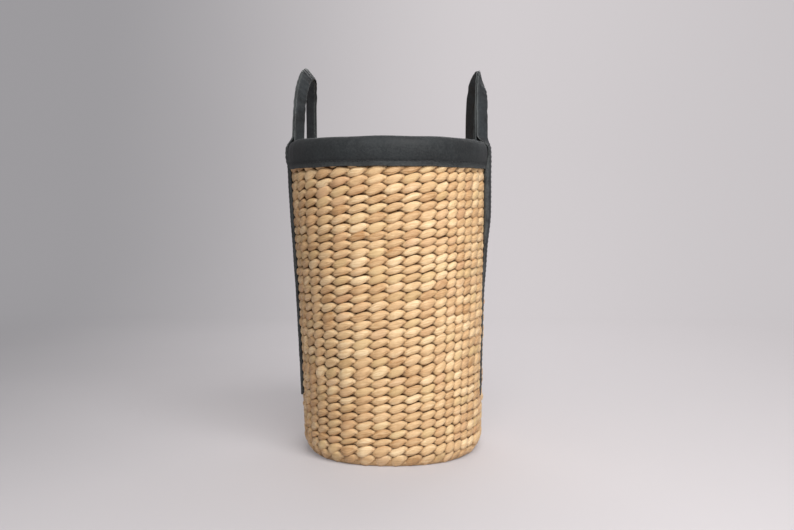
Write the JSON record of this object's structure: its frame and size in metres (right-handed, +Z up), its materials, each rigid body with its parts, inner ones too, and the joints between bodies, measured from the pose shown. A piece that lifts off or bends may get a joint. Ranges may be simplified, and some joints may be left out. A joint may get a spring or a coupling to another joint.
{
  "type": "woven tote bag",
  "caption": "Oval tote bag of twined plant stems with a leather-bound rim and leather strap handles that fold over.",
  "frame": {"origin": "on the floor, under the middle of the base", "axes": "+Z up; the oval's long axis along Y with the front end at -Y; handles on the long sides, left at -X and right at +X"},
  "size_m": [0.2332, 0.3018, 0.4263],
  "materials": {
    "hyacinth_weft": "dried twisted water-hyacinth strands, satin",
    "hyacinth_stem": "dried water-hyacinth stem, matt",
    "leather": "soft black-grey leather, satin",
    "leather_lining": "soft black-grey leather, matt",
    "waxed_thread": "black waxed sewing thread"
  },
  "bodies": {
    "bag": {"weave_outer": "hyacinth_weft", "weave_inner": "hyacinth_weft", "side_stake_01": "hyacinth_stem", "side_stake_02": "hyacinth_stem", "side_stake_03": "hyacinth_stem", "side_stake_04": "hyacinth_stem", "side_stake_05": "hyacinth_stem", "side_stake_06": "hyacinth_stem", "side_stake_07": "hyacinth_stem", "side_stake_08": "hyacinth_stem", "side_stake_09": "hyacinth_stem", "side_stake_10": "hyacinth_stem", "side_stake_11": "hyacinth_stem", "side_stake_12": "hyacinth_stem", "side_stake_13": "hyacinth_stem", "side_stake_14": "hyacinth_stem", "end_stake_01": "hyacinth_stem", "end_stake_02": "hyacinth_stem", "end_stake_03": "hyacinth_stem", "end_stake_04": "hyacinth_stem", "end_stake_05": "hyacinth_stem", "end_stake_06": "hyacinth_stem", "end_stake_07": "hyacinth_stem", "end_stake_08": "hyacinth_stem", "rim_binding": "leather", "rim_seam_thread_outside": "waxed_thread", "rim_seam_thread_inside": "waxed_thread", "left_front_sewn_strap": "leather", "left_back_sewn_strap": "leather", "right_front_sewn_strap": "leather", "right_back_sewn_strap": "leather", "left_front_strap_flex": "leather", "left_back_strap_flex": "leather", "right_front_strap_flex": "leather", "right_back_strap_flex": "leather"},
    "left_handle": {"left_handle_strap": "leather", "left_handle_lining": "leather_lining"},
    "right_handle": {"right_handle_strap": "leather", "right_handle_lining": "leather_lining"}
  },
  "joints": [
    {"name": "left_handle_fold", "type": "hinge", "parent": "bag", "child": "left_handle", "pos_m": [-0.106, 0, 0.35], "axis": [0, -1, 0], "range_deg": [-80, 145], "deforming": ["left_front_strap_flex", "left_back_strap_flex"]},
    {"name": "right_handle_fold", "type": "hinge", "parent": "bag", "child": "right_handle", "pos_m": [0.106, 0, 0.35], "axis": [0, 1, 0], "range_deg": [-80, 145], "deforming": ["right_front_strap_flex", "right_back_strap_flex"]}
  ]
}
